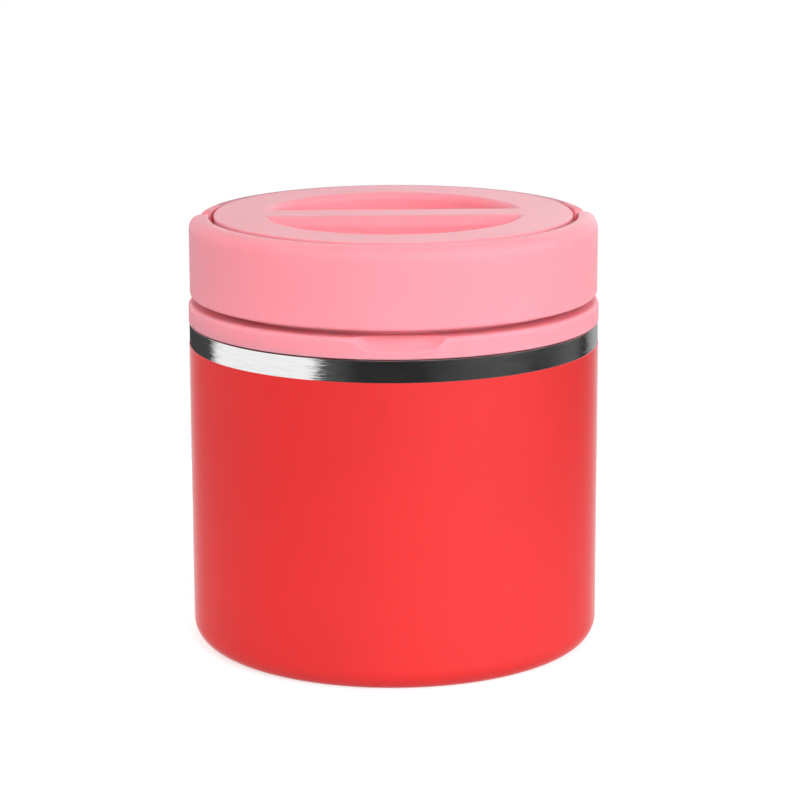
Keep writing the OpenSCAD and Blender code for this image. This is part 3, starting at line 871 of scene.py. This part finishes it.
fit(make_shell(), steel, "jar", "outer_shell")
fit(thread("neck_thread", NECK_R, NECK_R + THREAD_DEPTH, 0), steel, "jar", "outer_shell")
fit(make_coat(), coat_red, "jar", "powder_coat")
fit(make_liner(), liner_steel, "jar", "inner_liner")
fit(make_base_cover(), base_steel, "jar", "base_cover")
fit(make_gasket(), silicone, "seal", "lid_gasket")
fit(make_lid_shell(), lid_pink, "lid", "lid_shell")
fit(make_guard(), lid_pink, "lid", "lid_shell")
fit(make_guard_fill(), lid_pink, "lid", "lid_shell")
fit(make_bosses(), lid_pink, "lid", "lid_shell")
fit(make_pads(), lid_pink, "lid", "lid_shell")
fit(thread("lid_thread", WALL_R, WALL_R - THREAD_DEPTH, 90), lid_pink, "lid", "lid_shell")
fit(make_disc(), disc_pink, "lid", "grip_disc")
fit(make_plug(), plug_white, "lid", "lid_plug")
fit(make_band(), handle_pink, "handle", "handle_band")

for node, material in {
    "vacuum_base": mill_steel, "getter_clip": mill_steel, "seal_bead": glass, "getter": getter_grey,
    "lid_foam": foam, "handle_pin_left": pin_steel, "handle_pin_right": pin_steel,
}.items():
    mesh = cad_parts[node].data
    mesh.materials.clear()
    mesh.materials.append(material)


# ---- Floor, light and camera ----

FLOOR_GLOW = 0.60
FLOOR_GLOW_MIRRORED = 0.4  # the share of the glow that glossy surfaces see
AMBIENT = 0.12
BACK_LEVEL = 1.6
ROOF_LEVEL = 1.2


def make_floor():
    """A round pale table top, as white as the background to the camera, with the jar's shadow on it."""
    radius, edge, thick = 200, 4, 12
    outline = [(0, 0), (radius - edge, 0)] + arc(radius - edge, -edge, edge, 90, 0, 6)[1:]
    outline += [(radius, -thick), (0, -thick)]
    floor = lathe("floor", outline)
    f = Finish("floor", (0.70, 0.70, 0.70), 0.9)
    ray = f.add("LightPath").outputs
    glow = f.add("Emission", {"Color": (1, 1, 1, 1)})
    seen = f.math("ADD", ray["Is Camera Ray"], f.math("MULTIPLY", ray["Is Glossy Ray"], FLOOR_GLOW_MIRRORED))
    f.join(f.math("MULTIPLY", seen, FLOOR_GLOW), glow.inputs["Strength"])
    top = f.add("AddShader")
    f.join(f.surface.outputs[0], top.inputs[0])
    f.join(glow.outputs[0], top.inputs[1])
    clear = f.add("BsdfTransparent").outputs[0]
    below = f.add("NewGeometry").outputs["Backfacing"]
    f.join(f.mix(below, top.outputs[0], clear), f.nodes["Material Output"].inputs["Surface"])
    floor.data.materials.append(f.material)


LAMP_AWAY = 1.3
LAMP_SIZE = 0.8
LAMP_AIM_Z = 0.06
# Name, azimuth and elevation in degrees, watts, and whether glossy surfaces show it
LAMPS = (
    ("front_low", 0, 7, 2.6, False), ("low_right", 35, 8, 4.8, False), ("front_right", 35, 25, 5.5, True),
    ("low_left", -38, 8, 4.9, False), ("right", 72, 15, 5.6, True), ("left", -105, 15, 6.2, False),
    ("rim_right", 160, 12, 4.4, True), ("rim_left", -150, 10, 3.5, False), ("front_high", 0, 42, 7.0, True))

# What glossy surfaces see all round: (azimuth in degrees, level)
STUDIO = (
    (-180, 0.05), (-125, 0.08), (-117, 1.30), (-47, 1.36), (-43, 0.14), (-22, 0.03), (14, 0.025),
    (48, 0.09), (85, 0.03), (115, 0.15), (124, 0.13), (133, 0.01), (139, 0.24), (150, 0.45), (180, 0.50))


def make_world():
    """White to the camera, even light on matt surfaces, and a studio with panels for what is glossy."""
    world = bpy.data.worlds.new("studio")
    world.use_nodes = True
    bpy.context.scene.world = world
    g = Graph(world.node_tree)
    g.nodes.clear()
    split = g.add("SeparateXYZ")
    g.join(g.add("TexCoord").outputs["Generated"], split.inputs[0])
    x, y, z = split.outputs
    azimuth = g.math("DIVIDE", g.math("ARCTAN2", x, g.math("MULTIPLY", y, -1)), 2 * pi)
    around = g.add("ValToRGB")
    g.join(g.math("ADD", azimuth, 0.5), around.inputs[0])
    elements = around.color_ramp.elements
    while len(elements) < len(STUDIO):
        elements.new(0.5)
    for element, (angle, level) in zip(elements, STUDIO):
        element.position = (angle + 180) / 360
        element.color = (level, level, level, 1)
    back_side = g.ramp(y, 0.0, 0.5, 0, 1, "SMOOTHSTEP")
    behind = g.math("MULTIPLY", back_side, g.ramp(z, -0.02, 0.12, 0, 1, "SMOOTHSTEP"))
    low = g.ramp(z, 0.0, 0.15, 1, 0, "SMOOTHSTEP")
    level = g.math("MULTIPLY", around.outputs[0], low)
    level = g.math("ADD", level, g.math("MULTIPLY", behind, BACK_LEVEL))
    roof = g.ramp(z, 0.6, 0.92, 0, ROOF_LEVEL, "SMOOTHSTEP")
    level = g.math("ADD", level, roof)

    def background(strength):
        node = g.add("Background", {"Color": (1, 1, 1, 1)})
        if isinstance(strength, float):
            node.inputs["Strength"].default_value = strength
        else:
            g.join(strength, node.inputs["Strength"])
        return node.outputs[0]

    ray = g.add("LightPath").outputs
    lit = g.mix(ray["Is Glossy Ray"], background(AMBIENT), background(level))
    seen = g.mix(ray["Is Camera Ray"], lit, background(1.0))
    g.join(seen, g.add("OutputWorld").inputs[0])


def lamp(name, azimuth, elevation, watts, mirrored):
    """A soft square lamp aimed at the jar's middle. Azimuth 0 is towards the camera, and +90 the right."""
    a, e = radians(azimuth), radians(elevation)
    aim = Vector((0, 0, LAMP_AIM_Z))
    way = Vector((sin(a) * cos(e), -cos(a) * cos(e), sin(e)))
    data = bpy.data.lights.new(name, "AREA")
    data.size = LAMP_SIZE
    data.energy = watts
    light = bpy.data.objects.new(name, data)
    light.location = aim + way * LAMP_AWAY
    light.visible_glossy = mirrored
    light.rotation_mode = "QUATERNION"
    light.rotation_quaternion = way.to_track_quat("Z", "Y")
    bpy.context.scene.collection.objects.link(light)


def make_camera():
    """The photograph's view: its lens, place, tilt and roll."""
    lens_px, image_px, sensor_mm = 2930.0, 800.0, 36.0
    away, height = 0.7457, 0.2332
    round_jar, pan, pitch, roll = radians(-1.5), radians(0.12), radians(12.88), radians(-0.20)
    ahead = Vector((sin(pan) * cos(pitch), cos(pan) * cos(pitch), -sin(pitch)))
    flat_right = Vector((cos(pan), -sin(pan), 0))
    flat_up = flat_right.cross(ahead)
    right = cos(roll) * flat_right + sin(roll) * flat_up
    up = cos(roll) * flat_up - sin(roll) * flat_right
    turn = Matrix.Rotation(round_jar, 4, "Z")
    axes = Matrix((right, up, -ahead)).transposed().to_4x4()
    data = bpy.data.cameras.new("camera")
    data.sensor_width = sensor_mm
    data.lens = lens_px * sensor_mm / image_px
    camera = bpy.data.objects.new("camera", data)
    camera.matrix_world = turn @ Matrix.Translation((0, -away, height)) @ axes
    bpy.context.scene.collection.objects.link(camera)
    bpy.context.scene.camera = camera


make_floor()
make_world()
for lamp_setting in LAMPS:
    lamp(*lamp_setting)
make_camera()
bpy.context.scene.view_settings.view_transform = "Standard"
